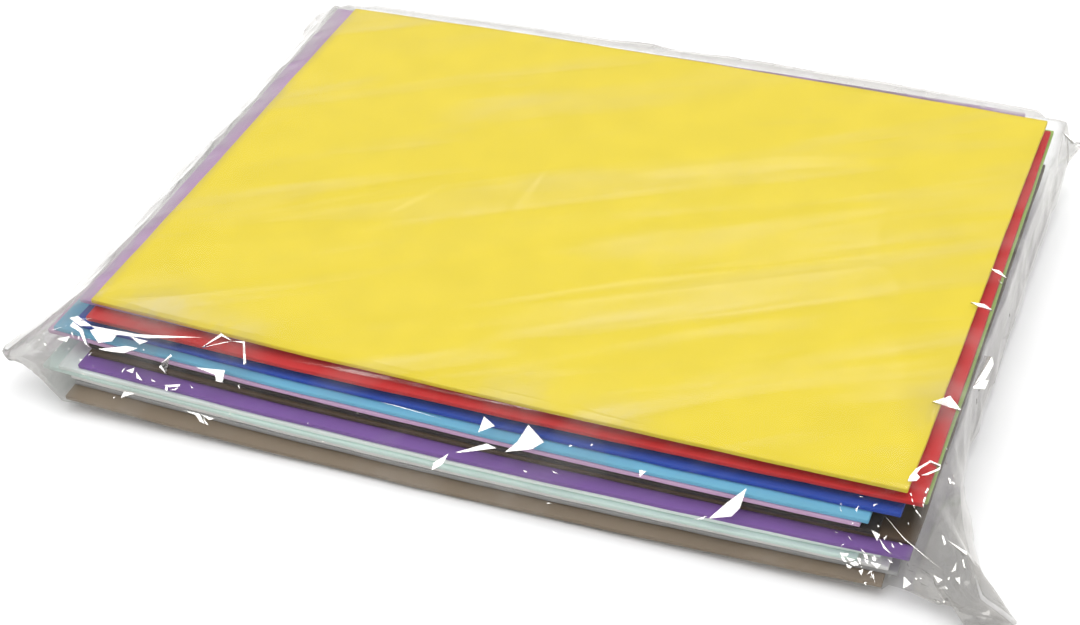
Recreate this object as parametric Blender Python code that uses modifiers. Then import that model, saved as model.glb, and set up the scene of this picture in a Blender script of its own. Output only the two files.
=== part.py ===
"""Pack of craft foam sheets: a fanned stack of coloured foam sheets in a clear film bag.

Units are metres, +X runs along the long edge of the sheets, +Y away from the viewer, +Z up.
Each sheet is one thin slab. The bag is one hollow film shell drawn tight over the stack, with a
welded seam at each end and four ears where the seams meet the long sides.
"""

import bmesh
import bpy
from math import cos, radians, sin
from mathutils import Vector

# Foam sheets
SHEET_LENGTH = 0.300
SHEET_WIDTH = 0.210
SHEET_THICKNESS = 0.0018
LAYER_GAP = 0.00025

# Bow of the sheets: their near corners curl up and, high in the stack, the far ones droop
NEAR_CURL_BOTTOM = 0.0028
NEAR_CURL_TOP = 0.0018
FAR_DROOP_TOP = 0.0014
CURL_POWER = 1.5
CELLS_LONG = 12
CELLS_WIDE = 8

# Film bag
FILM_THICKNESS = 0.0003
FILM_CLEARANCE = 0.0003
LEFT_SEAM_REACH = 0.0045
RIGHT_SEAM_REACH = 0.0022
SEAM_SETBACK = 0.006
VENT_LENGTH = 0.060
VENT_HEIGHT = 0.0008

# Ears of the film. A tip is given by how far it stands out from the end of the stack, how far it
# lies inside the near or the far side, and its height as a share of the stack's height
EAR_ROOT = 0.012
NEAR_LEFT_TIPS = ((0.012, 0.003, 0.50),)
FLAP_TIPS = ((0.033, 0.009, 0.03), (0.020, 0.002, 0.03), (0.017, 0.024, 0.12))
FAR_RIGHT_TIPS = ((0.007, 0.002, 0.70),)
FAR_LEFT_TIPS = ((0.003, -0.002, 0.70),)

# One row a sheet, from the top down: name, colour, place of its near left corner from that of
# the top sheet in mm, turn in degrees, and how far its cut length is over the nominal one in mm
SHEETS = (
    ("sheet_yellow", (0.84, 0.69, 0.08), 0.0, 0.0, 0.0, -3.0),
    ("sheet_lilac", (0.52, 0.30, 0.55), -6.0, 0.8, 0.9, -3.0),
    ("sheet_red", (0.58, 0.02, 0.03), 0.2, -5.4, 0.9, 2.0),
    ("sheet_lime", (0.32, 0.50, 0.10), 2.9, -1.8, 0.9, 0.0),
    ("sheet_royal_blue", (0.02, 0.07, 0.36), -5.8, -5.7, 0.45, 2.0),
    ("sheet_sky_blue", (0.12, 0.38, 0.60), -13.0, -8.6, 0.3, 0.0),
    ("sheet_pink", (0.70, 0.46, 0.68), -15.6, -8.8, 0.3, 0.0),
    ("sheet_black", (0.01, 0.01, 0.01), 1.0, -8.9, 0.3, -11.0),
    ("sheet_brown", (0.07, 0.04, 0.02), 2.0, -10.6, 0.8, 0.0),
    ("sheet_purple", (0.20, 0.09, 0.36), 0.5, -16.2, 0.9, 1.0),
    ("sheet_pale_mint", (0.62, 0.72, 0.62), -7.6, -17.5, 1.3, 0.0),
    ("sheet_mint", (0.40, 0.64, 0.53), -14.7, -17.5, 0.9, 0.0),
    ("sheet_white", (0.80, 0.80, 0.78), -4.0, -16.9, 1.0, -1.0),
    ("sheet_grey", (0.42, 0.42, 0.42), -2.0, -17.2, 1.1, 0.0),
    ("sheet_taupe", (0.27, 0.20, 0.14), -2.5, -23.9, 1.5, -3.0),
)
MILLIMETRE = 0.001

LAYER_PITCH = SHEET_THICKNESS + LAYER_GAP
STACK_HEIGHT = LAYER_PITCH * (len(SHEETS) - 1) + SHEET_THICKNESS


def clear_scene():
    for old in list(bpy.data.objects):
        bpy.data.objects.remove(old, do_unlink=True)


def new_collection(name):
    collection = bpy.data.collections.new(name)
    bpy.context.scene.collection.children.link(collection)
    return collection


def principled(name, colour, roughness, alpha=1.0):
    material = bpy.data.materials.new(name)
    material.use_nodes = True
    shader = material.node_tree.nodes["Principled BSDF"]
    shader.inputs["Base Color"].default_value = (*colour, 1.0)
    shader.inputs["Roughness"].default_value = roughness
    shader.inputs["Metallic"].default_value = 0.0
    shader.inputs["Alpha"].default_value = alpha
    return material


def add_object(name, bm, collection):
    mesh = bpy.data.meshes.new(name)
    bm.to_mesh(mesh)
    bm.free()
    piece = bpy.data.objects.new(name, mesh)
    collection.objects.link(piece)
    return piece


def bow(x, y, rise):
    """Height that a sheet gains at (x, y), for a sheet whose rise in the stack is 0 to 1."""
    across = 2 * x / SHEET_LENGTH - 1
    deep = 2 * y / SHEET_WIDTH - 1
    near_curl = NEAR_CURL_BOTTOM + (NEAR_CURL_TOP - NEAR_CURL_BOTTOM) * rise
    curl = near_curl * max(0.0, -deep) ** CURL_POWER
    droop = FAR_DROOP_TOP * rise * max(0.0, deep) ** CURL_POWER
    return across ** 2 * (curl - droop)


def add_sheet(layer, row, collection):
    """A foam slab: a grid that follows the bow of the stack, thickened upwards."""
    name, colour, near_x, near_y, turn, over_length = row
    length = SHEET_LENGTH + over_length * MILLIMETRE
    base = STACK_HEIGHT - SHEET_THICKNESS - layer * LAYER_PITCH
    rise = base / (STACK_HEIGHT - SHEET_THICKNESS)
    corner = Vector((near_x, near_y)) * MILLIMETRE
    angle = radians(turn)

    bm = bmesh.new()
    bmesh.ops.create_grid(bm, x_segments=CELLS_LONG, y_segments=CELLS_WIDE, size=0.5)
    for vert in bm.verts:
        along = (vert.co.x + 0.5) * length
        deep = (vert.co.y + 0.5) * SHEET_WIDTH
        x = corner.x + along * cos(angle) - deep * sin(angle)
        y = corner.y + along * sin(angle) + deep * cos(angle)
        vert.co = (along, deep, bow(x, y, rise))
    sheet = add_object(name, bm, collection)
    sheet.location = (corner.x, corner.y, base)
    sheet.rotation_euler = (0, 0, angle)
    slab = sheet.modifiers.new("thickness", "SOLIDIFY")
    slab.thickness = SHEET_THICKNESS
    slab.offset = 1.0
    sheet.data.materials.append(principled(name, colour, 0.75))
    return sheet


def world_points(objects):
    """Corner points of the evaluated meshes, in world space."""
    depsgraph = bpy.context.evaluated_depsgraph_get()
    points = []
    for piece in objects:
        mesh = piece.evaluated_get(depsgraph).data
        points += [piece.matrix_world @ vert.co for vert in mesh.vertices]
    return points


def add_hull(name, points, margin, collection):
    """Convex skin that clears every point by the margin."""
    bm = bmesh.new()
    for point in points:
        for sx in (-margin, margin):
            for sy in (-margin, margin):
                for sz in (-margin, margin):
                    bm.verts.new(point + Vector((sx, sy, sz)))
    hull = bmesh.ops.convex_hull(bm, input=bm.verts)
    unused = hull["geom_interior"] + hull["geom_unused"]
    bmesh.ops.delete(bm, geom=list({g for g in unused if isinstance(g, bmesh.types.BMVert)}),
                     context="VERTS")
    bmesh.ops.dissolve_limit(bm, angle_limit=radians(0.05), verts=bm.verts, edges=bm.edges)
    bmesh.ops.triangulate(bm, faces=bm.faces)
    bmesh.ops.recalc_face_normals(bm, faces=bm.faces)
    return add_object(name, bm, collection)


def as_guide(piece):
    piece.hide_render = True
    piece.display_type = "WIRE"
    return piece


def boolean(target, tool, operation):
    modifier = target.modifiers.new(tool.name, "BOOLEAN")
    modifier.operation = operation
    modifier.solver = "EXACT"
    modifier.object = tool


def seam_points(stack):
    """Ends of the two welded seams, at half the height of the stack."""
    left = min(p.x for p in stack) - LEFT_SEAM_REACH
    right = max(p.x for p in stack) + RIGHT_SEAM_REACH
    near = min(p.y for p in stack) + SEAM_SETBACK
    far = max(p.y for p in stack) - SEAM_SETBACK
    middle = STACK_HEIGHT / 2
    return [Vector((x, y, middle)) for x in (left, right) for y in (near, far)]


def ears(stack):
    """The four ears: name, tips, and the root points that each grows from inside the film."""
    high = STACK_HEIGHT - EAR_ROOT / 2
    middle = STACK_HEIGHT / 2
    low = EAR_ROOT / 4
    corners = (
        ("ear_near_left", -1, -1, NEAR_LEFT_TIPS, ((1, 2, high), (2, 1, low), (0.25, 3, middle))),
        ("ear_near_right", 1, -1, FLAP_TIPS, ((1, 2, high), (2, 1, low), (0.25, 6, middle))),
        ("ear_far_right", 1, 1, FAR_RIGHT_TIPS, ((1, 1, high), (1, 1, middle), (0.25, 3, middle))),
        ("ear_far_left", -1, 1, FAR_LEFT_TIPS, ((2, 1, high), (2, 1, middle), (1, 3, middle))),
    )
    found = []
    for name, side_x, side_y, tips, roots in corners:
        end = side_x * max(side_x * p.x for p in stack)
        edge = side_y * max(side_y * p.y for p in stack)
        points = [Vector((end + side_x * out, edge - side_y * inside, share * STACK_HEIGHT))
                  for out, inside, share in tips]
        points += [Vector((end - side_x * inside * EAR_ROOT, edge - side_y * deep * EAR_ROOT, z))
                   for inside, deep, z in roots]
        found.append((name, points))
    return found


def add_vent(stack, collection):
    """Slit that stays open in the middle of the right seam."""
    right = max(p.x for p in stack)
    middle_y = (min(p.y for p in stack) + max(p.y for p in stack)) / 2
    bm = bmesh.new()
    bmesh.ops.create_cube(bm, size=1.0)
    depth = 2 * (RIGHT_SEAM_REACH + FILM_CLEARANCE + FILM_THICKNESS)
    bmesh.ops.scale(bm, vec=(depth, VENT_LENGTH, VENT_HEIGHT), verts=bm.verts)
    vent = add_object("vent", bm, collection)
    vent.location = (right + FILM_CLEARANCE + depth / 2, middle_y, STACK_HEIGHT / 2)
    return as_guide(vent)


def add_bag(stack, collection, cutters):
    """Film shell: outer skins joined, inner skins and the vent cut away."""
    outer_margin = FILM_CLEARANCE + FILM_THICKNESS
    wrapped = stack + seam_points(stack)
    bag = add_hull("bag", wrapped, outer_margin, collection)
    corners = ears(stack)
    for name, points in corners:
        skin = as_guide(add_hull(name + "_outer", points, outer_margin, cutters))
        boolean(bag, skin, "UNION")
    boolean(bag, as_guide(add_hull("bag_inner", wrapped, FILM_CLEARANCE, cutters)), "DIFFERENCE")
    for name, points in corners:
        skin = as_guide(add_hull(name + "_inner", points, FILM_CLEARANCE, cutters))
        boolean(bag, skin, "DIFFERENCE")
    boolean(bag, add_vent(stack, cutters), "DIFFERENCE")
    bag.data.materials.append(principled("clear_film", (0.9, 0.9, 0.9), 0.08, 0.25))
    return bag


def centre_on_floor(collections, measured):
    """Move everything so that the pack stands on z = 0 over the origin."""
    points = world_points(measured)
    low = Vector([min(p[i] for p in points) for i in range(3)])
    high = Vector([max(p[i] for p in points) for i in range(3)])
    shift = Vector((-(low.x + high.x) / 2, -(low.y + high.y) / 2, -low.z))
    for collection in collections:
        for piece in collection.objects:
            piece.location += shift
    bpy.context.view_layer.update()


def main():
    clear_scene()
    pack = new_collection("craft_foam_pack")
    cutters = new_collection("cutters")
    sheets = [add_sheet(layer, row, pack) for layer, row in enumerate(SHEETS)]
    bpy.context.view_layer.update()
    bag = add_bag(world_points(sheets), pack, cutters)
    bpy.context.view_layer.update()
    centre_on_floor((pack, cutters), sheets + [bag])


main()
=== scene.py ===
"""Looks of the bagged pack of craft foam sheets: die-cut foam slabs, clear film bag, studio.

Units are metres, in the part's frame: +X along the long edge of the sheets, +Y away from the
viewer, +Z up, floor at z = 0. The foam slabs take their place and bow from the CAD nodes. The
film is a hull over those nodes, with its seams, ears, flap and folds drawn out of it.
"""

from math import radians

import bmesh
import bpy
import numpy as np
from mathutils import Matrix, Vector
from mathutils.bvhtree import BVHTree
from mathutils.geometry import delaunay_2d_cdt


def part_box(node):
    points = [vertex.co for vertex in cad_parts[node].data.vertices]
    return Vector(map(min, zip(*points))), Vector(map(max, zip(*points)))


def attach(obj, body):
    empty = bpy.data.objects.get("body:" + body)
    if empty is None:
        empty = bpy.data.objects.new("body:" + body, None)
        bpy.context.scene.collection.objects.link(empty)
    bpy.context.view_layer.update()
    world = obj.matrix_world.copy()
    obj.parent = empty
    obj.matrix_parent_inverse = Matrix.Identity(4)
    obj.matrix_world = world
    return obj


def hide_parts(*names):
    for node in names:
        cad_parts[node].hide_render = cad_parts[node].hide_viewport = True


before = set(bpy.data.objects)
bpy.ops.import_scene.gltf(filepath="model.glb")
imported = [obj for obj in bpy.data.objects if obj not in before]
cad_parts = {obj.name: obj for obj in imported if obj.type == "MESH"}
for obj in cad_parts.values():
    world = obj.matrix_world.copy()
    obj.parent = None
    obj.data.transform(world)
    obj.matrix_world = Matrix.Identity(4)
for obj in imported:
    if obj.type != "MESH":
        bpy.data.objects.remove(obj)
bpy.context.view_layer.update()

MM = 0.001
# Soft noise: octaves, waves in each, and how much finer and weaker each octave is than the last
NOISE_OCTAVES, NOISE_WAVES, NOISE_FINER, NOISE_WEAKER = 4, 4, 1.7, 0.6

# Corner of the top sheet that places are measured from
DATUM = np.array(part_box("sheet_yellow")[0][:2])


def from_datum(*points):
    """Points in millimetres from the top sheet's near left corner, with their height."""
    return np.array(points, float) * MM + (*DATUM, 0)


# Camera and studio
CAMERA_PLACE = Vector(from_datum((383.7, -418.7, 465.5))[0])
CAMERA_AIM = Vector(from_datum((155.9, 44.7, 31.1))[0])
CAMERA_ROLL = radians(-5.44)
CAMERA_LENS_MM = 64.83
SENSOR_WIDTH_MM = 36
FLOOR_SIZE = 6.0
# Lamps look at the middle of the pack: place, size and power of each
CENTRE = Vector((0, 0, 0))
BACK_PLACE, BACK_SIZE, BACK_POWER = (-0.80, 1.45, 1.55), (1.3, 0.5), 2.2
TOP_PLACE, TOP_SIZE, TOP_POWER = (0, 0.2, 2.2), (2.0, 2.0), 19
# Small lamps that the creases of the film mirror: front left, right behind, overhead
SPARK_LAMPS = ((-0.75, -1.17, 1.44), (0.90, 1.05, 1.43), (0.18, 0.50, 1.90))
SPARK_SIZE, SPARK_POWER = (0.30, 0.30), 1.6
# Where the surroundings are brightest, how far round from it they are dimmest, as a cosine, and
# their strength in both places
BRIGHT_SIDE = (-0.15, 0.70, 0.70)
DIM_FROM = -0.1
DIM_STRENGTH, BRIGHT_STRENGTH = 0.68, 1.1

# Foam: top sheet first, node name and base colour
FOAM_COLOURS = {
    "sheet_yellow": (0.77, 0.61, 0.022),
    "sheet_lilac": (0.50, 0.30, 0.55),
    "sheet_red": (0.60, 0.012, 0.015),
    "sheet_lime": (0.36, 0.55, 0.12),
    "sheet_royal_blue": (0.015, 0.07, 0.46),
    "sheet_sky_blue": (0.17, 0.52, 0.74),
    "sheet_pink": (0.72, 0.46, 0.68),
    # Near-black, faintly brown foam: its dark edge under the pink sheet also stands in for the
    # shade in the gap there, so this dark is partly painted shade
    "sheet_black": (0.020, 0.014, 0.010),
    "sheet_brown": (0.09, 0.055, 0.028),
    "sheet_purple": (0.22, 0.10, 0.38),
    "sheet_pale_mint": (0.86, 0.94, 0.90),
    "sheet_mint": (0.72, 0.90, 0.83),
    "sheet_white": (0.90, 0.90, 0.88),
    "sheet_grey": (0.42, 0.42, 0.42),
    "sheet_taupe": (0.25, 0.19, 0.13),
}
# Mottle of the foam: shares of the base colour at its darkest and lightest, where a little white
# is added
FOAM_DARKEST, FOAM_LIGHTEST, FOAM_LIFT = 0.97, 1.02, 0.002
# Cells of a CAD slab, which its heights are read from, and of a foam slab
CAD_CELLS_LONG, CAD_CELLS_WIDE = 12, 8
FOAM_CELLS_LONG, FOAM_CELLS_WIDE = 72, 50
FOAM_EDGE_RADIUS = 0.00035
SHARP_EDGE = radians(45)
# Slow swell of the stack and wander of the cut edges: height, wavelength and seed
WAVE_HEIGHT, WAVE_LENGTH, WAVE_SEED = 0.00018, 0.16, 3
EDGE_WANDER, EDGE_WANDER_LENGTH, FIRST_EDGE_SEED = 0.00018, 0.05, 20

# Film: room over the foam and over the floor, and rings along the stack
FILM_CLEARANCE = 0.0004
FILM_LOWEST = 0.00015
FILM_STATIONS = 300
# How far the first ring lies inside the left seam and the last one past the stack's right end
FIRST_RING, LAST_RING = 0.0002, 0.0004
# Share by which the rings crowd towards both ends of the stack
FILM_CROWDING = 0.06
# Points of a ring on its top, near slope, underside and far side
TOP_POINTS, NEAR_POINTS, UNDER_POINTS, FAR_POINTS = 120, 40, 48, 24
RING_SIZE = TOP_POINTS + NEAR_POINTS + UNDER_POINTS + FAR_POINTS
# Rows where the two layers of film part: the middles of the near and the far side
NEAR_MIDDLE = TOP_POINTS + NEAR_POINTS // 2
FAR_MIDDLE = RING_SIZE - FAR_POINTS // 2
# Left seam: how far it stands out from the stack and lies inside its near and far side
LEFT_SEAM_REACH = 0.0045
SEAM_NEAR_SETBACK = 0.020
SEAM_FAR_SETBACK = 0.006
# The film's top is level at TOP_CAP and slopes down over the last stretch at the right end
TOP_CAP = 0.0335
RIGHT_FULL = 0.007
RIGHT_SLOPE = 0.72

# Right end: rings out to the welded seam, rings in a weld, the gap between the seam's two layers
FLAP_RINGS = 46
WELD_RINGS = 2
SEAM_LAYER_GAP = 0.0002
# The right seam runs straight down to FLAP_START_Y, and from there round the slack flap
FLAP_START_Y = DATUM[1] + 0.048
RIGHT_SEAM = from_datum((311, 213, 20), (306, 204, 15), (305.2, 190, 9), (305.2, 120, 7),
                        (305.5, 48, 6))
RIGHT_FLAP = from_datum((305.5, 48, 6), (307, 33, 4.5), (312, 18, 3.2), (319, 3, 2.4),
                        (323, -8, 2.0), (331, -12, 1.4), (335.7, -14.6, 1.0),
                        (331, -19.2, 0.8), (322.8, -21.7, 0.7))
# How far a crease of film stands out at least and at most, its most as a share of its size, and
# how milky it is
TUCK_LIFT = 0.00012
TUCK_MOST = 0.0013
TUCK_MOST_SHARE = 0.2
TUCK_HAZE = 0.38
# Creases of film that catch a lamp: outlines in mm from the datum, with their height
TUCKS = (
    ((156.8, -6.1, 27.5), (161.3, -7.7, 25.9), (156, -9.6, 23.2)),
    ((172.6, -5.7, 28), (179.3, -8.4, 24.8), (175.7, -10.6, 22.4), (166.7, -12.4, 20),
     (170.2, -9.8, 23.3)),
    ((149.5, -14.9, 17), (159.6, -11.8, 21.1), (163.2, -12.2, 20.5), (150.9, -14.9, 17.1)),
    ((142, -19.5, 10.4), (142.4, -18, 12.8), (146.8, -15.6, 16.1), (145.6, -17.6, 12.9)),
    ((247.8, -7.4, 24.5), (247.1, -10.9, 19.1), (244.9, -12.7, 16.4), (237.7, -14.1, 14.4),
     (242.9, -10.4, 20)),
    ((233, -15, 13), (236.8, -13.8, 14.8), (235.4, -14.6, 13.7)),
    ((212.4, -9.1, 23.1), (214.8, -8.9, 23.1), (212.9, -10.3, 21.2)),
    ((6.5, -7.3, 27.5), (14.9, -7.6, 27), (13.6, -9.5, 24.7), (8.4, -10.8, 23.6),
     (4.3, -8.5, 26.4)),
    ((8.9, -12.2, 22.1), (19.4, -9.8, 24.3), (23.9, -9.7, 24.4), (19.4, -11.5, 22.3),
     (11.9, -12.1, 21.9)),
    ((3.7, -7.4, 27.7), (23.8, -6.6, 28.2), (48.1, -3.7, 31), (28, -6.9, 27.8), (12.4, -8, 26.5)),
    ((49.4, -6.3, 28.5), (55.1, -1.3, 32.6), (60, -2.8, 31.6), (55.6, -2.1, 32.1)),
    ((49.4, -6.3, 28.5), (56.9, -3.6, 31), (60, -2.8, 31.6)),
    ((48.6, -10.7, 23.1), (59.4, -9.9, 24), (59.7, -12.5, 20.6), (57.3, -12.6, 20.7),
     (56.3, -11.4, 22.3)),
    ((21, -15.7, 18.2), (24, -14.6, 19.2), (23.9, -15.9, 17.8)),
    ((25, -15.4, 18.3), (28.3, -17, 16.3), (25.7, -16.7, 16.8)),
    ((37.3, -16.2, 16.3), (43.2, -15.2, 17.4), (43.1, -15.7, 16.8), (39.3, -16.4, 16)),
    ((37.4, -16.5, 16), (38.5, -16.5, 15.9), (38.7, -17.3, 15), (37.8, -17.4, 14.8)),
    ((39.9, -17, 15.3), (42.8, -15.9, 16.6), (41.8, -16.7, 15.5)),
    ((21.3, -21.8, 10.4), (22.1, -20.3, 12.3), (26.2, -20.1, 12.5)),
    ((46.8, -20.5, 10.8), (52.7, -20.4, 10.8), (55.5, -21.9, 8.4), (53.8, -21.8, 8.6),
     (51.2, -20.8, 10.3)),
    ((53.1, -20.4, 10.7), (58.5, -20.6, 10.3), (56.9, -21.1, 9.6)),
    ((54, -20.7, 10.3), (56.7, -22.1, 8.1), (55.7, -22, 8.2)),
    ((-7.7, -13.6, 23.4), (-3.2, -11.7, 24.5), (-3.9, -13.3, 22.8)),
    ((20.6, -7.5, 27.1), (27.6, -7.6, 26.9), (24.8, -8.7, 25.6)),
    ((-5.1, -7.2, 28.8), (-2.2, -6.1, 29.6), (4.1, -7.4, 27.6), (-0.3, -8.6, 27.4)),
    ((294.5, 40.2, 32.8), (299.1, 45.7, 32), (303.3, 42.3, 29.4), (299.9, 41.2, 31.4)),
    ((296.2, 2.8, 33.3), (296.1, 4.9, 33.2), (297.2, 9.3, 33.1), (298.3, 9.5, 32.6),
     (297.9, 7.4, 32.8), (298.9, 6.6, 32), (298.4, 4.6, 32.3)),
    ((297.2, 9.3, 33.1), (299.9, 14.9, 31.5), (303.1, 16.1, 29.4), (302.8, 15.4, 29.6),
     (300.1, 14.3, 31.4), (298.3, 10, 32.5)),
    ((303.1, 16.1, 29.4), (303.1, 14.1, 29.3), (300.5, 9.2, 30.9), (299, 7.9, 31.9),
     (300.3, 10, 31.1), (302.6, 14.2, 29.7)),
    ((304.2, 56.1, 28.5), (304.5, 62.2, 26), (305.2, 73.4, 16.9), (305.7, 67.2, 18.1)),
    ((280.2, -13.8, 12.9), (283.1, -13.6, 13.3), (282.5, -14, 12.3), (281, -14.2, 11.9)),
    ((282.3, -14.2, 11.9), (285.3, -14.2, 11.9), (283.7, -14.6, 11)),
    ((280.7, -14.4, 11.6), (281.6, -14.3, 11.8), (282.8, -14.9, 10.5), (281.7, -14.9, 10.6)),
    ((287.4, -13.1, 14), (288.5, -13, 14.2), (289.1, -13.6, 13), (288.1, -13.6, 12.9)),
    ((287.8, -13.8, 12.5), (289.3, -13.8, 12.5), (289.3, -14.3, 11.3)),
    ((282.6, -15.1, 10), (284.5, -15.3, 9.5), (284.3, -15.5, 8.9), (283.2, -15.5, 9)),
    ((290.1, -13.1, 13.8), (291.1, -13.1, 13.9), (291.6, -13.6, 12.7), (290.6, -13.6, 12.8)),
    ((289.9, -13.9, 12.2), (293.3, -13.8, 12.2), (292.3, -14.5, 10.7)),
    ((286.8, -15.5, 8.7), (288.1, -15.1, 9.5), (287.9, -16, 7.5)),
    ((283.7, -14.8, 10.5), (285.5, -14.4, 11.4), (286.6, -14.8, 10.4), (285.1, -15, 9.9)),
    ((285.6, -13.9, 12.5), (286.9, -13.8, 12.6), (286.8, -14.5, 11.1)),
    ((300.8, -14.6, 10.3), (303.5, -15.4, 9), (301.2, -15.8, 6.4)),
    ((314.7, -12.7, 15.1), (315.5, -10.4, 17.3), (315.7, -12, 15.5)),
    ((316.2, -13.7, 13.9), (317.5, -13.1, 14.1), (318, -14.5, 12.5), (316.9, -14.1, 13.2)),
    ((288.5, -8.9, 20.9), (291.5, -9.2, 20.3), (290.9, -10.4, 18.5)),
    ((291.3, -9.9, 19.3), (293.9, -11.1, 17.3), (296.1, -12, 15.9), (293.3, -11.4, 17)),
    ((309.6, -14.6, 13.9), (312.8, -15, 13.3), (311.5, -15.9, 12.4)),
    ((306.1, 15.6, 25.8), (306.4, 16.3, 25.2), (307.1, 15.2, 23.9), (306.8, 14.2, 24.7)),
    ((307, 16.5, 23.9), (307.6, 16.5, 22.5), (307.4, 15.3, 23.4)),
    ((294.7, 92.8, 32.1), (299.1, 94.1, 31.8), (301.9, 93.3, 29.8), (297.4, 92, 32)),
    ((297, 112.9, 31.8), (299.8, 113.5, 31.5), (302.7, 111.8, 29.8), (299.4, 112, 31.7)),
    ((304.7, 78.4, 23.1), (305, 80.7, 17.9), (305, 61.9, 22.8), (304.3, 55.9, 28.2)),
    ((-3.2, -8.1, 28.3), (1.2, -9.1, 26.4), (4.1, -12, 22.5), (5.7, -12.6, 21.8), (3, -11.8, 22.8),
     (0.1, -9.9, 25.9), (-4, -9.5, 27.2)),
    ((-12.2, -15.8, 22.4), (-11, -15.7, 21.8), (-11.5, -16.2, 21.3)),
    ((60.2, -2.7, 31.6), (64.5, -2, 32.1), (67.2, -7.2, 27.1), (66.4, -7.7, 26.5),
     (64.1, -2.7, 31.7)),
    ((37.4, -9.3, 24.9), (38, -9.6, 24.5), (34.4, -11.9, 21.7), (37.2, -13.6, 19.4),
     (34, -12.6, 20.8)),
    ((119.2, -8.5, 25.2), (127.4, -8.5, 25.2), (142.4, -9, 24.6), (130.5, -8.8, 25)),
    ((301.8, 5.2, 30), (302.3, 5.3, 29.6), (302.1, 2.9, 29.7), (301.7, 2.9, 30)),
    ((301.9, 1.3, 29.8), (302.4, 1.3, 29.5), (302.5, -0.8, 29.5), (302, -0.9, 29.8)),
    ((302.1, -1.5, 29.8), (302.5, -1.5, 29.5), (302.7, -2.7, 29.2)),
    ((300.4, -3.7, 28.5), (300.8, -3.6, 28.7), (301.8, -4.2, 28), (301.6, -4.3, 27.8)),
    ((301.8, -4.4, 27.7), (302.2, -4.3, 27.8), (302.8, -4.9, 27.1)),
    ((291.8, -5.9, 25.3), (299, -8.7, 20.8), (311.2, -12.9, 16), (299, -8.9, 20.6)),
    ((311.4, -6.7, 22.1), (317.2, -6.6, 17.8), (317.2, -7.5, 17.8)),
    ((309.6, -6.3, 23.2), (310.2, -6.3, 23), (311.4, -7.5, 21.4), (310.9, -8, 21)),
    ((316.8, -9.1, 17.5), (317.2, -8.8, 17.5), (318.3, -10.6, 15.8), (317.7, -10.5, 16.1)),
    ((298, -0.9, 32.4), (298.2, -0.6, 32.4), (298.7, -1.3, 31.8), (298.4, -1.4, 31.8)),
    ((298.8, -1.9, 31.1), (299, -1.7, 31.2), (299.5, -2.3, 30.4), (299.1, -2.4, 30.4)),
    ((299.6, -2.9, 29.6), (299.9, -2.7, 29.8), (300.3, -3.4, 28.9)),
    ((303.4, 205.6, 29.3), (306.9, 209.7, 24), (308.3, 209.4, 22.2), (305.7, 207.7, 25.1)),
)
# Slack film behind the far edge of the stack, drawn out level with the upper sheets
FAR_LIP = from_datum((8, 215, 28.5), (70, 216, 29.5), (150, 216, 30), (230, 217, 30),
                     (292, 216, 29))
# Where small slivers of crumpled film glint: middle in mm from the datum, radius and how many
FLECK_CLUSTERS = (
    ((-12, -6, 17), 9, 60), ((4, -12, 20), 9, 30), ((30, -14, 14), 14, 36),
    ((60, -16, 12), 16, 30), ((285, -6, 18), 9, 50), ((297, -2, 16), 6, 30),
    ((308, -6, 6), 9, 60), ((316, -12, 3), 8, 40), ((292, -12, 8), 8, 40),
    ((190, -9, 18), 18, 24), ((110, -14, 14), 24, 24), ((304, 60, 16), 10, 16),
    ((303, 110, 18), 14, 16), ((302, 20, 24), 8, 20),
)
# Patches where creased film is milky, which also paint a lamp's reflection on the film: middle in
# mm from the datum, radius and strength
HAZE_AND_REFLECTION_PATCHES = (((28, -3, 31), 16, 0.15), ((58, -4, 30), 12, 0.09), ((165, -3, 31), 14, 0.07),
                ((200, -3, 31), 12, 0.06), ((301, 40, 31), 12, 0.09))
# Flecks: seed, length and width in mm, how far off centre their tips lie as a share of the
# length, and how near to the film their place must be
FLECK_SEED = 41
FLECK_LENGTH, FLECK_WIDTH, FLECK_SKEW = (0.6, 2.6), (0.15, 0.6), 0.3
FLECK_NEAR = 0.0022
# The flecks lie along a slope that rises as far as it goes back
FLECK_SLANT = 0.7
# Root, tip and reach of the ears that the left seam leaves at both its ends
EARS = (
    (from_datum((-20, -4, 15))[0], from_datum((-28, -21, 15))[0], 0.024),
    (from_datum((-20, 211, 15))[0], from_datum((-21, 217, 16))[0], 0.016),
)
# How fast an ear narrows towards its tip, and how little height counts in its reach
EAR_SHARPNESS = 2.4
EAR_HEIGHT_WEIGHT = 0.35
# Crumples: spacing and seed of the coarse and the fine ones. How far the coarse ones stand out
# everywhere, in soft patches, on the flap and at the left end, and on top of the pack, and how
# far the fine ones do next to them. On top the film only swells softly
CRUMPLE_SPACING, CRUMPLE_SEED = 0.011, 5
FINE_SPACING, FINE_SEED, FINE_STRETCH = 0.0055, 6, (1.0, 1.3)
CRUMPLE_LEAST, CRUMPLE_PATCHES, CRUMPLE_FLAP, CRUMPLE_LEFT = 0.00025, 0.0008, 0.0016, 0.0010
CRUMPLE_ON_TOP = 0.00008
FINE_SHARE = 0.35
PATCH_LENGTH, PATCH_SEED, PATCH_GAIN = 0.09, 12, 1.6
SWELL_HEIGHT, SWELL_LENGTH, SWELL_SEED = 0.00006, 0.05, 8
# Where the flap, the side wall, the left end and the upper edge of the back begin, and the widths
# over which they set in
TIP_X, FLAP_WIDTH, SIDE_WIDTH = DATUM[0] + 0.300, 0.012, 0.003
LEFT_X, LEFT_WIDTH = DATUM[0] + 0.004, 0.012
BACK_Y, BACK_WIDTH = DATUM[1] + 0.2095, 0.0015
BACK_Z, BACK_RISE = 0.028, 0.002
# Share of light that the film mirrors face on, what is added edge on, and how late that sets in
MIRROR_LEAST, MIRROR_MOST, MIRROR_POWER = 0.012, 0.9, 5.0
# Share of light that passes through the film where it is clear and where it is milkiest
CLEAR_LIGHT, MILKY_LIGHT = 0.93, 0.52
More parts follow.
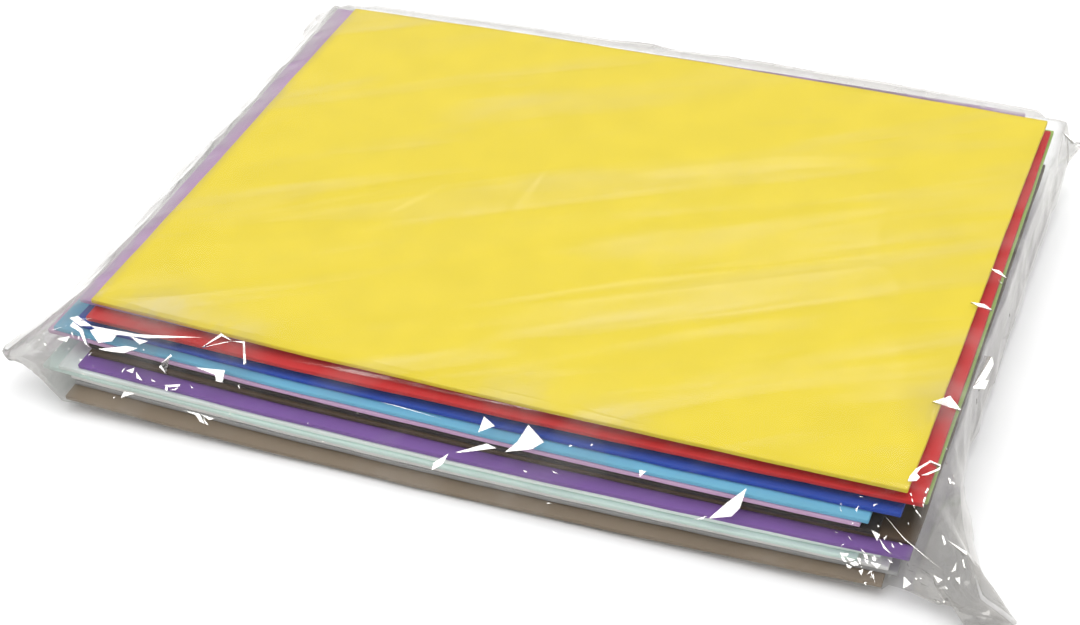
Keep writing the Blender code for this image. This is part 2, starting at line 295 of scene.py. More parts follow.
# Faint milky streaks in the film, which paint soft bands of reflected lamp light: their direction,
# size and haze
STREAK_TURN, STREAK_SIZE, STREAK_HAZE_AND_REFLECTION = radians(29), (0.14, 0.016, 0.05), 0.11
# How milky the film is in each place, beside the top sheet, on a weld and at most
HAZE_FLAP, HAZE_LEFT, HAZE_BACK, HAZE_BESIDE, HAZE_SIDE_WALL = 0.28, 0.29, 0.44, 0.012, 0.19
HAZE_WELD, HAZE_MOST = 0.25, 0.6
# Share of the haze that is even, and shares that vary from facet to facet of the crumples, which
# also paint the facets lighter and darker as light would
EVEN_TONE, FACET_TONE, FINE_TONE = 0.45, 0.75, 0.4
# Upward part of the film's normal where its top begins, the span over which the top sets in, and
# the upward part below which the film is the underside
TOP_FROM, TOP_SPAN, UNDER_FROM = 0.7, 0.25, -0.5
# Soft folds of the film over the top sheet: height, half width and path in mm from the datum
TOP_FOLDS = (
    (0.00030, 0.0035, ((15, 37), (38, 46), (58, 55), (75, 65), (83, 74), (97, 81))),
    (0.00040, 0.0040, ((3, -1), (31, 11), (66, 29), (94, 44), (121, 55), (150, 77), (195, 107),
                       (245, 132), (285, 151))),
    (0.00030, 0.0028, ((75, 5), (106, 20), (146, 38))),
    (0.00040, 0.0050, ((146, 40), (180, 58), (207, 72), (230, 85), (261, 101), (286, 108))),
    (0.00025, 0.0030, ((96, -2), (126, 19), (149, 34))),
    (0.00022, 0.0030, ((167, 22), (191, 31), (209, 40), (217, 48))),
    (0.00032, 0.0035, ((215, 19), (229, 33), (244, 51), (263, 68), (283, 85), (295, 98))),
    (0.00022, 0.0025, ((182, -1), (191, 13), (201, 22))),
    (0.00030, 0.0050, ((85, 144), (105, 146), (114, 154), (119, 163), (130, 168))),
    (0.00016, 0.0012, ((77, 74), (85, 89), (94, 105))),
    (0.00018, 0.0010, ((125, 76), (124, 101), (125, 128))),
    (0.00030, 0.0060, ((25, 179), (49, 182), (66, 195), (77, 202))),
    (0.00022, 0.0030, ((4, 151), (20, 158))),
    (0.00022, 0.0030, ((6, 111), (16, 125))),
    (0.00018, 0.0025, ((40, 105), (49, 110))),
    (0.00020, 0.0045, ((157, 131), (184, 144), (208, 156), (243, 167))),
)


def smooth_noise(points, scale, seed):
    """Sum of a few seeded sine waves: a soft random field round 0 over 2-D points."""
    rng = np.random.default_rng(seed)
    total = np.zeros(len(points))
    weight = 0.0
    for octave in range(NOISE_OCTAVES):
        for _ in range(NOISE_WAVES):
            angle = rng.uniform(0, 2 * np.pi)
            phase = rng.uniform(0, 2 * np.pi)
            wavelength = scale / NOISE_FINER ** octave * rng.uniform(0.8, 1.25)
            strength = NOISE_WEAKER ** octave
            along = points[:, 0] * np.cos(angle) + points[:, 1] * np.sin(angle)
            total += strength * np.sin(2 * np.pi * along / wavelength + phase)
            weight += strength
    return total / weight * 2.0


def cubic_rows(values, places):
    """Catmull-Rom interpolation of the rows of an array at fractional row numbers."""
    last = len(values) - 1
    i = np.clip(np.floor(places).astype(int), 0, last - 1)
    f = (places - i)[:, None]
    p0 = values[np.clip(i - 1, 0, last)]
    p1 = values[i]
    p2 = values[i + 1]
    p3 = values[np.clip(i + 2, 0, last)]
    return 0.5 * (2 * p1 + (p2 - p0) * f + (2 * p0 - 5 * p1 + 4 * p2 - p3) * f ** 2
                  + (3 * p1 - p0 - 3 * p2 + p3) * f ** 3)


def mesh_object(name, vertices, faces):
    """New object in the scene from its vertices and faces."""
    mesh = bpy.data.meshes.new(name)
    mesh.from_pydata([tuple(v) for v in vertices], [], [tuple(int(i) for i in f) for f in faces])
    mesh.update()
    piece = bpy.data.objects.new(name, mesh)
    bpy.context.scene.collection.objects.link(piece)
    return piece


def grid_faces(rows, columns, closed_columns=False):
    """Quads of a grid whose vertices are numbered row by row."""
    span = columns if closed_columns else columns - 1
    r, c = np.meshgrid(np.arange(rows - 1), np.arange(span), indexing="ij")
    r, c = r.ravel(), c.ravel()
    nxt = (c + 1) % columns
    return np.stack([r * columns + c, (r + 1) * columns + c,
                     (r + 1) * columns + nxt, r * columns + nxt], axis=1)


class Slab:
    """Place, size and bow of one foam sheet, read from its CAD node."""

    def __init__(self, node):
        co = np.array([v.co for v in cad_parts[node].data.vertices], float)
        near_left = co[np.argmin(co[:, 0] + co[:, 1])]
        near_right = co[np.argmax(co[:, 0] - co[:, 1])]
        far_left = co[np.argmin(co[:, 0] - co[:, 1])]
        self.corner = near_left[:2]
        self.along = near_right[:2] - near_left[:2]
        self.length = np.linalg.norm(self.along)
        self.along = self.along / self.length
        self.deep = np.array([-self.along[1], self.along[0]])
        self.width = (far_left[:2] - near_left[:2]) @ self.deep
        place = co[:, :2] - self.corner
        i = np.rint(place @ self.along / self.length * CAD_CELLS_LONG).astype(int)
        j = np.rint(place @ self.deep / self.width * CAD_CELLS_WIDE).astype(int)
        self.low = np.full((CAD_CELLS_LONG + 1, CAD_CELLS_WIDE + 1), np.inf)
        self.high = np.full_like(self.low, -np.inf)
        np.minimum.at(self.low, (i, j), co[:, 2])
        np.maximum.at(self.high, (i, j), co[:, 2])
        for table in (self.low, self.high):
            # a flat stretch of the slab may have no corner points of its own
            table[~np.isfinite(table)] = table[np.isfinite(table)].min()

    def heights(self, table, s, t):
        """Height of the underside or the top on a grid of shares of the length and the width."""
        rows = cubic_rows(table, s * CAD_CELLS_LONG)
        return cubic_rows(rows.T, t * CAD_CELLS_WIDE).T

    def plan(self, s, t):
        """Places in plan on a grid of shares of the length and the width."""
        s, t = np.meshgrid(s, t, indexing="ij")
        return (self.corner + s[..., None] * self.length * self.along
                + t[..., None] * self.width * self.deep)


def stack_wave(plan):
    """Slow swell that all the sheets share, so that they nest in each other."""
    flat = plan.reshape(-1, 2)
    return (smooth_noise(flat, WAVE_LENGTH, WAVE_SEED) * WAVE_HEIGHT).reshape(plan.shape[:-1])


def build_slab(node, slab, seed):
    """Foam slab with a softly rounded die-cut edge."""
    s = np.linspace(0, 1, FOAM_CELLS_LONG + 1)
    t = np.linspace(0, 1, FOAM_CELLS_WIDE + 1)
    plan = slab.plan(s, t)
    wave = stack_wave(plan)
    low = slab.heights(slab.low, s, t) + wave
    high = slab.heights(slab.high, s, t) + wave
    edge = smooth_noise(plan.reshape(-1, 2), EDGE_WANDER_LENGTH, seed).reshape(plan.shape[:-1])
    outward = np.zeros_like(plan)
    outward[0] -= slab.along
    outward[-1] += slab.along
    outward[:, 0] -= slab.deep
    outward[:, -1] += slab.deep
    plan = plan + outward * edge[..., None] * EDGE_WANDER

    rows, columns = low.shape
    under = np.dstack([plan, low]).reshape(-1, 3)
    over = np.dstack([plan, high]).reshape(-1, 3)
    top_faces = grid_faces(rows, columns) + len(under)
    under_faces = grid_faces(rows, columns)[:, ::-1]
    number = np.arange(rows * columns).reshape(rows, columns)
    rim = np.concatenate([number[0, :], number[1:, -1], number[-1, -2::-1], number[-2:0:-1, 0]])
    nxt = np.roll(rim, -1)
    side_faces = np.stack([rim, rim + len(under), nxt + len(under), nxt], axis=1)
    piece = mesh_object("foam_" + node.removeprefix("sheet_"), np.vstack([under, over]),
                        np.vstack([top_faces, under_faces, side_faces]))
    bm = bmesh.new()
    bm.from_mesh(piece.data)
    bmesh.ops.recalc_face_normals(bm, faces=bm.faces)
    sharp = [e for e in bm.edges if len(e.link_faces) == 2 and e.calc_face_angle() > SHARP_EDGE]
    bmesh.ops.bevel(bm, geom=sharp, offset=FOAM_EDGE_RADIUS, segments=2, profile=0.5,
                    affect="EDGES", clamp_overlap=True)
    for face in bm.faces:
        face.smooth = True
    bm.to_mesh(piece.data)
    bm.free()
    return piece


def hull_of(points):
    """Vertices and edges of the convex hull of 3-D points."""
    bm = bmesh.new()
    for point in points:
        bm.verts.new(point)
    found = bmesh.ops.convex_hull(bm, input=bm.verts)
    loose = {g for g in found["geom_interior"] + found["geom_unused"]
             if isinstance(g, bmesh.types.BMVert)}
    bmesh.ops.delete(bm, geom=list(loose), context="VERTS")
    bm.verts.index_update()
    co = np.array([v.co for v in bm.verts], float)
    edges = np.array([[v.index for v in e.verts] for e in bm.edges])
    bm.free()
    return co, edges


def convex_loop(points):
    """Convex outline of 2-D points, counter-clockwise."""
    order = np.lexsort((points[:, 1], points[:, 0]))
    points = points[order]

    def chain(path):
        kept = []
        for p in path:
            while len(kept) >= 2:
                a, b = kept[-2], kept[-1]
                if (b[0] - a[0]) * (p[1] - a[1]) - (b[1] - a[1]) * (p[0] - a[0]) > 1e-12:
                    break
                kept.pop()
            kept.append(p)
        return kept[:-1]

    return np.array(chain(points) + chain(points[::-1]))


def section(co, edges, x):
    """Outline of the hull in the plane at x, as (y, z) points."""
    a, b = co[edges[:, 0]], co[edges[:, 1]]
    crossing = (a[:, 0] - x) * (b[:, 0] - x) <= 0
    a, b = a[crossing], b[crossing]
    span = b[:, 0] - a[:, 0]
    share = np.where(np.abs(span) < 1e-9, 0.5, (x - a[:, 0]) / np.where(span == 0, 1, span))
    cut = a + np.clip(share, 0, 1)[:, None] * (b - a)
    return convex_loop(cut[:, 1:])


def walk(loop, start, end, count):
    """Evenly spaced points along a closed counter-clockwise loop from one corner to another."""
    size = len(loop)
    path = [loop[start]]
    i = start
    while i != end:
        i = (i + 1) % size
        path.append(loop[i])
    return along_path(np.array(path), np.linspace(0, 1, count, endpoint=False))


def along_path(path, shares):
    """Points at the given shares of the length of a path."""
    step = np.r_[0, np.cumsum(np.linalg.norm(np.diff(path, axis=0), axis=1))]
    step /= max(step[-1], 1e-12)
    return np.stack([np.interp(shares, step, path[:, k]) for k in range(path.shape[1])], axis=1)


def ring(loop):
    """The loop with a fixed number of points on its top, near slope, underside and far side."""
    far_top = int(np.argmax(loop @ (1, 1)))
    near_top = int(np.argmax(loop @ (-1, 1)))
    near_low = int(np.argmax(loop @ (-1, -1)))
    far_low = int(np.argmax(loop @ (1, -1)))
    return np.vstack([walk(loop, far_top, near_top, TOP_POINTS),
                      walk(loop, near_top, near_low, NEAR_POINTS),
                      walk(loop, near_low, far_low, UNDER_POINTS),
                      walk(loop, far_low, far_top, FAR_POINTS)])


def end_fan(last, straight, flap):
    """Rings from the last full ring out to the welded seam, both layers along the same line."""
    layers = np.empty_like(last)
    top_rows = np.r_[FAR_MIDDLE:RING_SIZE, 0:NEAR_MIDDLE]
    low_rows = np.arange(NEAR_MIDDLE, FAR_MIDDLE)[::-1]
    for rows in (top_rows, low_rows):
        side = last[rows]
        arc = np.r_[0, np.cumsum(np.linalg.norm(np.diff(side, axis=0), axis=1))]
        turn = np.interp(-FLAP_START_Y, -side[:, 1], arc) / arc[-1]
        share = arc / arc[-1]
        on_straight = along_path(straight, np.clip(share / turn, 0, 1))
        on_flap = along_path(flap, np.clip((share - turn) / (1 - turn), 0, 1))
        layers[rows] = np.where((share <= turn)[:, None], on_straight, on_flap)
    layers[low_rows, 2] -= SEAM_LAYER_GAP
    shares = np.linspace(0, 1, FLAP_RINGS + 1)[1:]
    return np.array([last + (layers - last) * t for t in shares])


def pull(grid, root, tip, reach):
    """Draws the film near a root point out to a tip, as an ear of a pillow bag."""
    distance = np.linalg.norm((grid - root) * (1, 1, EAR_HEIGHT_WEIGHT), axis=2)
    share = np.clip(1 - distance / reach, 0, 1) ** EAR_SHARPNESS
    return grid + share[..., None] * (tip - root)


def film_grid():
    """Rings of film from the left seam to the right one, drawn tight over the stack."""
    points = np.unique(np.vstack([np.array([v.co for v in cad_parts[node].data.vertices])
                                  for node in FOAM_COLOURS]).round(6), axis=0)
    left, right = points[:, 0].min(), points[:, 0].max()
    near, far = points[:, 1].min(), points[:, 1].max()
    middle = points[:, 2].max() / 2
    seam_x = left - LEFT_SEAM_REACH
    seam = [(seam_x, y, middle) for y in (near + SEAM_NEAR_SETBACK, far - SEAM_FAR_SETBACK)]
    co, edges = hull_of([Vector(p) for p in np.vstack([points, seam, FAR_LIP])])
    u = np.linspace(0, 1, FILM_STATIONS)
    start, end = seam_x + FIRST_RING, right + LAST_RING
    slope_x = right - RIGHT_FULL
    rings = []
    for x in start + (end - start) * (u - FILM_CROWDING * np.sin(2 * np.pi * u)):
        yz = ring(section(co, edges, min(x, slope_x)))
        yz[:, 1] = np.minimum(yz[:, 1], TOP_CAP - max(0.0, x - slope_x) * RIGHT_SLOPE)
        rings.append(np.column_stack([np.full(len(yz), x), yz]))
    grid = np.array(rings)
    grid = np.concatenate([grid, end_fan(grid[-1], RIGHT_SEAM, RIGHT_FLAP)])
    for root, tip, reach in EARS:
        grid = pull(grid, root, tip, reach)
    return grid


def surface_normals(grid):
    """Outward normals of the ring grid."""
    along = np.gradient(grid, axis=0)
    around = np.roll(grid, -1, axis=1) - np.roll(grid, 1, axis=1)
    normal = np.cross(around, along)
    size = np.linalg.norm(normal, axis=2, keepdims=True)
    return normal / np.where(size < 1e-15, 1, size)


def ridge(points, path, width):
    """Height from 0 to 1 of a soft fold along a path, that fades out at both ends."""
    best = np.full(len(points), np.inf)
    share = np.zeros(len(points))
    step = np.r_[0, np.cumsum(np.linalg.norm(np.diff(path, axis=0), axis=1))]
    for a, b, run in zip(path[:-1], path[1:], step):
        line = b - a
        t = np.clip(((points - a) @ line) / (line @ line), 0, 1)
        distance = np.linalg.norm(points - a - t[:, None] * line, axis=1)
        closer = distance < best
        best = np.where(closer, distance, best)
        share = np.where(closer, (run + t * np.linalg.norm(line)) / step[-1], share)
    fade = np.sin(np.pi * np.clip(share, 0, 1)) ** 0.5
    return np.exp(-(best / width) ** 2) * fade


def facets(places, spacing, seed):
    """Crumpled fields from 0 to 1 over 2-D places: height of flat sharp triangles, and a random
    tone for each that paints light and dark facets into the film's milkiness.
    """
    rng = np.random.default_rng(seed)
    low, high = places.min(0) - spacing, places.max(0) + spacing
    count = int(np.prod((high - low) / spacing))
    spots = rng.uniform(low, high, (count, 2))
    spots = np.vstack([spots, [low, high, (low[0], high[1]), (high[0], low[1])]])
    found = delaunay_2d_cdt([Vector(p) for p in spots], [], [], 0, 1e-9)
    height = rng.uniform(0, 1, len(found[0]))
    tree = BVHTree.FromPolygons([(v.x, v.y, h) for v, h in zip(found[0], height)], found[2])
    tones = rng.uniform(0, 1, len(found[2]))
    down = Vector((0, 0, -1))
    field = np.zeros((2, len(places)))
    for n, (a, b) in enumerate(places):
        hit, _, triangle, _ = tree.ray_cast(Vector((a, b, 2.0)), down)
        if hit is not None:
            field[:, n] = hit.z, tones[triangle]
    return field


def wrinkle(grid):
    """Moves the film outwards: soft folds on the top sheet, sharp crumples on the sides.

    Also says how milky the film is at each point; in patches and from facet to facet this
    milkiness also paints reflection and the light and dark of the facets.
    """
    normal = surface_normals(grid)
    arc_u = np.zeros(grid.shape[:2])
    arc_u[1:] = np.cumsum(np.linalg.norm(np.diff(grid, axis=0), axis=2), axis=0)
    arc_v = np.zeros(grid.shape[:2])
    arc_v[:, 1:] = np.cumsum(np.linalg.norm(np.diff(grid, axis=1), axis=2), axis=1)
    places = np.stack([arc_u, arc_v], axis=2).reshape(-1, 2)
    flat = grid[..., :2].reshape(-1, 2)
    shape = grid.shape[:2]

    folds = np.zeros(len(flat))
    for height, width, path in TOP_FOLDS:
        folds += height * ridge(flat, np.array(path) * MM + DATUM, width)
    on_top = np.clip((normal[..., 2] - TOP_FROM) / TOP_SPAN, 0, 1)
    lift = folds.reshape(shape) * on_top
    swell = 0.5 + 0.5 * smooth_noise(flat, SWELL_LENGTH, SWELL_SEED).reshape(shape)
    lift += swell * on_top * SWELL_HEIGHT

    beside = 1 - on_top
    x, y, z = grid[..., 0], grid[..., 1], grid[..., 2]
    crumple, tone = facets(places, CRUMPLE_SPACING, CRUMPLE_SEED).reshape(2, *shape)
    fine, fine_tone = facets(places * FINE_STRETCH, FINE_SPACING, FINE_SEED).reshape(2, *shape)
    flap = np.clip((x - TIP_X) / FLAP_WIDTH, 0, 1)
    left_end = np.clip((LEFT_X - x) / LEFT_WIDTH, 0, 1)
    patch = smooth_noise(places, PATCH_LENGTH, PATCH_SEED).reshape(shape)
    patch = np.clip(patch * PATCH_GAIN, 0, 1)
    strength = (CRUMPLE_LEAST + CRUMPLE_PATCHES * patch + CRUMPLE_FLAP * flap
                + CRUMPLE_LEFT * left_end)
    upward = normal[..., 2] > UNDER_FROM
    lift += (crumple * strength + fine * strength * FINE_SHARE) * beside * upward
    lift += crumple * CRUMPLE_ON_TOP * on_top
    moved = grid + normal * (lift + FILM_CLEARANCE)[..., None]
    moved[..., 2] = np.maximum(moved[..., 2], FILM_LOWEST)

    back = np.clip((y - BACK_Y) / BACK_WIDTH, 0, 1) * np.clip((z - BACK_Z) / BACK_RISE, 0, 1)
    side_wall = beside * np.clip((x - TIP_X) / SIDE_WIDTH, 0, 1)
    milk_and_painted_light = HAZE_FLAP * flap + HAZE_LEFT * left_end + HAZE_BACK * back + HAZE_BESIDE * beside
    # Milky patches that partly paint a lamp's reflection on the film
    for middle, radius, milky_and_painted_light in HAZE_AND_REFLECTION_PATCHES:
        distance = np.linalg.norm(grid - from_datum(middle)[0], axis=2)
        milk_and_painted_light += milky_and_painted_light * np.exp(-(distance / (radius * MM)) ** 2)
    milk_and_painted_light = np.maximum(milk_and_painted_light, HAZE_SIDE_WALL * side_wall)
    # Milkiness that changes from facet to facet, partly painted light and dark of the crumpled
    # facets
    milk_and_painted_light *= EVEN_TONE + FACET_TONE * tone + FINE_TONE * fine_tone
    milk_and_painted_light[:WELD_RINGS] += HAZE_WELD
    milk_and_painted_light[-WELD_RINGS:] += HAZE_WELD
    return moved, np.clip(milk_and_painted_light, 0, HAZE_MOST)


def tuck_points(tree, outline):
    """A small crease of film: its outline on the film, raised, and the way its facet looks."""
    base, normals = [], []
    for point in outline:
        place, normal, _, _ = tree.find_nearest(Vector(point))
        base.append(place)
        normals.append(normal)
    out = sum(normals, Vector()).normalized()
    centre = sum(base, Vector()) / len(base)
    sight = (CAMERA_PLACE - centre).normalized()
    mirrors = [(sight + (Vector(lamp) - centre).normalized()).normalized()
               for lamp in SPARK_LAMPS]
    facet = max(mirrors, key=out.dot)
    lifts = [-(p - centre).dot(facet) / out.dot(facet) for p in base]
    lowest = min(lifts)
    most = min(TUCK_MOST, TUCK_MOST_SHARE * max((p - centre).length for p in base))
    raised = [p + out * min(lift - lowest + TUCK_LIFT, most) for p, lift in zip(base, lifts)]
    turned = sum(((a - centre).cross(b - centre) for a, b in zip(raised, raised[1:] + raised[:1])),
                 Vector())
    if turned.dot(facet) < 0:
        base.reverse()
        raised.reverse()
    return base, raised, facet


def fleck_outlines():
    """Slivers of crumpled film scattered in their clusters, as triangles in mm."""
    rng = np.random.default_rng(FLECK_SEED)
    outlines = []
    for middle, radius, count in FLECK_CLUSTERS:
        for _ in range(count):
            place = np.array(middle) + rng.normal(0, radius / 2, 3)
            heading = rng.uniform(0, np.pi)
            length = rng.uniform(*FLECK_LENGTH)
            cos, sin = np.cos(heading), np.sin(heading)
            along = np.array([cos, sin * FLECK_SLANT, sin * FLECK_SLANT])
            across = np.array([-sin, cos * FLECK_SLANT, cos * FLECK_SLANT])
            width = rng.uniform(*FLECK_WIDTH)
            outlines.append((place - along * length / 2, place + along * length / 2,
                             place + across * width
                             + along * rng.uniform(-FLECK_SKEW, FLECK_SKEW) * length))
    return outlines


def add_tucks(vertices, faces):
    """Adds the creases to the film's vertices and faces, and says which way their facets look."""
    tree = BVHTree.FromPolygons([tuple(v) for v in vertices], [tuple(f) for f in faces])
    vertices, faces = [tuple(v) for v in vertices], [tuple(int(i) for i in f) for f in faces]
    looks = {}
    flecks = [f for f in fleck_outlines()
              if tree.find_nearest(Vector(from_datum(f[0])[0]))[3] < FLECK_NEAR]
    for outline in list(TUCKS) + flecks:
        base, raised, facet = tuck_points(tree, from_datum(*outline))
        count, first = len(base), len(vertices)
        vertices += [tuple(p) for p in base] + [tuple(p) for p in raised]
        looks[len(faces)] = facet
        faces.append(tuple(first + count + i for i in range(count)))
        for i in range(count):
            j = (i + 1) % count
            faces.append((first + i, first + j, first + count + j, first + count + i))
    return vertices, faces, looks


def build_film(grid, milk_and_painted_light):
    """Film from its rings, with its creases and with its milkiness, partly painted reflection and
    facet shade, as an attribute of its points.
    """
    skin = grid_faces(len(grid), RING_SIZE, closed_columns=True)[:, ::-1]
    vertices, faces, looks = add_tucks(grid.reshape(-1, 3), skin)
    piece = mesh_object("film_bag", vertices, faces)
    # a normal of zeros leaves the corner as it is
    normals = np.zeros((len(piece.data.loops), 3))
    for number, polygon in enumerate(piece.data.polygons):
        polygon.use_smooth = number < len(skin) or number in looks
        if number in looks:
            normals[list(polygon.loop_indices)] = looks[number]
    # Milkiness per point, carrying the painted reflection and facet shade as well
    point_milk_and_painted_light = np.full(len(vertices), TUCK_HAZE, np.float32)
    point_milk_and_painted_light[:milk_and_painted_light.size] = milk_and_painted_light.ravel()
    piece.data.attributes.new("milk_and_painted_light", "FLOAT", "POINT").data.foreach_set("value", point_milk_and_painted_light)
    piece.data.normals_split_custom_set(normals.tolist())
    return piece


class Nodes:
    """Shorthand for a node tree: add nodes and link them by socket name."""

    def __init__(self, name):
        self.material = bpy.data.materials.new(name)
        self.material.use_nodes = True
        self.tree = self.material.node_tree
        self.shader = self.tree.nodes["Principled BSDF"]
        self.output = self.tree.nodes["Material Output"]

    def add(self, kind, **settings):
        """New node, with its settings and the values of its sockets by name."""
        node = self.tree.nodes.new("ShaderNode" + kind)
        for name, value in settings.items():
            if hasattr(node, name):
                setattr(node, name, value)
            else:
                node.inputs[name.replace("_", " ")].default_value = value
        return node

    def link(self, source, target):
        self.tree.links.new(source, target)


def foam_material(name, colour):
    """Closed-cell foam: matt, faintly mottled, with pores about half a millimetre wide."""
    m = Nodes(name)
    coords = m.add("TexCoord")
    mottle = m.add("TexNoise", Scale=60.0, Detail=4.0)
    m.link(coords.outputs["Object"], mottle.inputs["Vector"])
    shade = m.add("ValToRGB")
    dark = [c * FOAM_DARKEST for c in colour]
    light = [min(1.0, c * FOAM_LIGHTEST + FOAM_LIFT) for c in colour]
    shade.color_ramp.elements[0].position = 0.35
    shade.color_ramp.elements[0].color = (*dark, 1)
    shade.color_ramp.elements[1].position = 0.65
    shade.color_ramp.elements[1].color = (*light, 1)
    m.link(mottle.outputs["Fac"], shade.inputs["Fac"])
    m.link(shade.outputs["Color"], m.shader.inputs["Base Color"])
    pores = m.add("TexVoronoi", Scale=2200.0)
    m.link(coords.outputs["Object"], pores.inputs["Vector"])
    bump = m.add("Bump", Strength=0.25, Distance=0.00008)
    m.link(pores.outputs["Distance"], bump.inputs["Height"])
    m.link(bump.outputs["Normal"], m.shader.inputs["Normal"])
    m.shader.inputs["Roughness"].default_value = 0.62
    m.shader.inputs["Specular IOR Level"].default_value = 0.35
    m.shader.inputs["Sheen Weight"].default_value = 0.08
    return m.material


def film_material():
    """Thin clear film: see-through, mirror-like at grazing angles, milky where it is creased, with
    streaks that paint soft bands of reflected light.
    """
    m = Nodes("clear_film")
    clear = m.add("BsdfTransparent")
    facing = m.add("LayerWeight", Blend=0.5)
    steep = m.add("Math", operation="POWER")
    steep.inputs[1].default_value = MIRROR_POWER
    m.link(facing.outputs["Facing"], steep.inputs[0])
    gloss = m.add("Math", operation="MULTIPLY_ADD")
    gloss.inputs[1].default_value = MIRROR_MOST
    gloss.inputs[2].default_value = MIRROR_LEAST
    m.link(steep.outputs[0], gloss.inputs[0])
    # Milkiness per point, which in places also paints reflection and facet shade
    milk_and_painted_light = m.add("Attribute", attribute_name="milk_and_painted_light")
    dimmed = m.add("MapRange")
    dimmed.inputs["From Max"].default_value = HAZE_MOST
    dimmed.inputs["To Min"].default_value = CLEAR_LIGHT
    dimmed.inputs["To Max"].default_value = MILKY_LIGHT
    m.link(milk_and_painted_light.outputs["Fac"], dimmed.inputs["Value"])
    m.link(dimmed.outputs["Result"], clear.inputs["Color"])
    # Milky streaks across the film that paint soft bands of reflected light
    coords = m.add("TexCoord")
    streak_layout = m.add("Mapping", vector_type="TEXTURE")
    streak_layout.inputs["Rotation"].default_value = (0, 0, STREAK_TURN)
    streak_layout.inputs["Scale"].default_value = STREAK_SIZE
    m.link(coords.outputs["Object"], streak_layout.inputs["Vector"])
    cloud = m.add("TexNoise", Scale=1.0, Detail=4.0, Distortion=0.5)
    m.link(streak_layout.outputs["Vector"], cloud.inputs["Vector"])
    milky_reflection_streaks = m.add("MapRange")
    milky_reflection_streaks.inputs["From Min"].default_value = 0.50
    milky_reflection_streaks.inputs["From Max"].default_value = 0.78
    milky_reflection_streaks.inputs["To Min"].default_value = 0.0
    milky_reflection_streaks.inputs["To Max"].default_value = STREAK_HAZE_AND_REFLECTION
    m.link(cloud.outputs["Fac"], milky_reflection_streaks.inputs["Value"])
    milky_and_painted_light = m.add("Math", operation="ADD")
    m.link(milk_and_painted_light.outputs["Fac"], milky_and_painted_light.inputs[0])
    m.link(milky_reflection_streaks.outputs["Result"], milky_and_painted_light.inputs[1])
    total = m.add("Math", operation="ADD", use_clamp=True)
    m.link(gloss.outputs[0], total.inputs[0])
    m.link(milky_and_painted_light.outputs[0], total.inputs[1])
    mix = m.add("MixShader")
    m.link(total.outputs[0], mix.inputs[0])
    m.link(clear.outputs[0], mix.inputs[1])
    m.link(m.shader.outputs[0], mix.inputs[2])
    m.shader.inputs["Base Color"].default_value = (0.81, 0.79, 0.755, 1)
    m.shader.inputs["Metallic"].default_value = 0.6
    m.shader.inputs["Roughness"].default_value = 0.07
    m.link(mix.outputs[0], m.output.inputs["Surface"])
    return m.material


def floor_material():
    """Plain pale studio floor."""
    m = Nodes("studio_floor")
    m.shader.inputs["Base Color"].default_value = (0.93, 0.93, 0.93, 1)
    m.shader.inputs["Roughness"].default_value = 0.9
    return m.material


def add_area(name, place, size, power):
    """Soft rectangular lamp that looks at the middle of the pack."""
    light = bpy.data.lights.new(name, "AREA")
    light.shape = "RECTANGLE"
    light.size, light.size_y = size
    light.energy = power
    lamp = bpy.data.objects.new(name, light)
    bpy.context.scene.collection.objects.link(lamp)
    lamp.location = place
    lamp.rotation_euler = (CENTRE - Vector(place)).to_track_quat("-Z", "Y").to_euler()


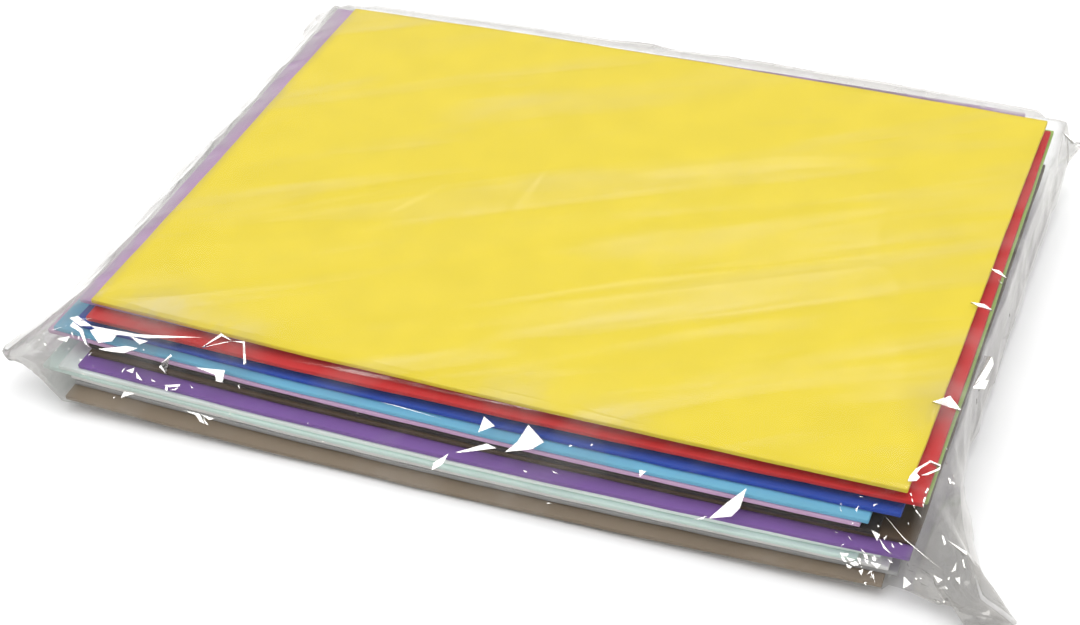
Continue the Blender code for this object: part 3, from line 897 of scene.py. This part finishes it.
def add_world():
    """Surroundings that are bright behind and above the pack and dim on the viewer's side."""
    world = bpy.data.worlds.new("studio")
    world.use_nodes = True
    tree = world.node_tree
    coords = tree.nodes.new("ShaderNodeTexCoord")
    toward = tree.nodes.new("ShaderNodeVectorMath")
    toward.operation = "DOT_PRODUCT"
    toward.inputs[1].default_value = BRIGHT_SIDE
    tree.links.new(coords.outputs["Generated"], toward.inputs[0])
    span = tree.nodes.new("ShaderNodeMapRange")
    span.interpolation_type = "SMOOTHSTEP"
    span.inputs["From Min"].default_value = DIM_FROM
    span.inputs["From Max"].default_value = 1.0
    span.inputs["To Min"].default_value = DIM_STRENGTH
    span.inputs["To Max"].default_value = BRIGHT_STRENGTH
    tree.links.new(toward.outputs["Value"], span.inputs["Value"])
    tree.links.new(span.outputs["Result"], tree.nodes["Background"].inputs["Strength"])
    tree.nodes["Background"].inputs["Color"].default_value = (1, 1, 1, 1)
    bpy.context.scene.world = world


def add_studio():
    """Floor, surroundings and lamps."""
    half = FLOOR_SIZE / 2
    corners = [(-half, -half, 0), (half, -half, 0), (half, half, 0), (-half, half, 0)]
    floor = mesh_object("studio_floor", corners, [(0, 1, 2, 3)])
    floor.data.materials.append(floor_material())
    add_world()
    for number, place in enumerate(SPARK_LAMPS):
        add_area(f"spark_{number}", place, SPARK_SIZE, SPARK_POWER)
    add_area("back", BACK_PLACE, BACK_SIZE, BACK_POWER)
    add_area("top", TOP_PLACE, TOP_SIZE, TOP_POWER)
    bpy.context.scene.view_settings.view_transform = "Standard"


def add_camera():
    """Camera at the photograph's viewing angle."""
    data = bpy.data.cameras.new("camera")
    data.sensor_width = SENSOR_WIDTH_MM
    data.lens = CAMERA_LENS_MM
    camera = bpy.data.objects.new("camera", data)
    bpy.context.scene.collection.objects.link(camera)
    turn = (CAMERA_AIM - CAMERA_PLACE).to_track_quat("-Z", "Y").to_matrix()
    turn = turn @ Matrix.Rotation(CAMERA_ROLL, 3, "Z")
    camera.matrix_world = Matrix.Translation(CAMERA_PLACE) @ turn.to_4x4()
    bpy.context.scene.camera = camera


shapes = {node: Slab(node) for node in FOAM_COLOURS}
slabs = [build_slab(node, shapes[node], FIRST_EDGE_SEED + layer)
         for layer, node in enumerate(FOAM_COLOURS)]

grid, milk_and_painted_light = wrinkle(film_grid())
film = build_film(grid, milk_and_painted_light)

# Each sheet lies on the one below it, and the lowest on the bag; from the lowest up, each gets its
# foam material and joins the root body, and its CAD node is hidden
for node, slab in zip(reversed(FOAM_COLOURS), reversed(slabs)):
    slot = "foam_" + node.removeprefix("sheet_")
    slab.data.materials.append(foam_material(slot, FOAM_COLOURS[node]))
    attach(slab, "root")
    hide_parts(node)

film.data.materials.append(film_material())
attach(film, "root")
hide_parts("bag")

add_studio()
add_camera()
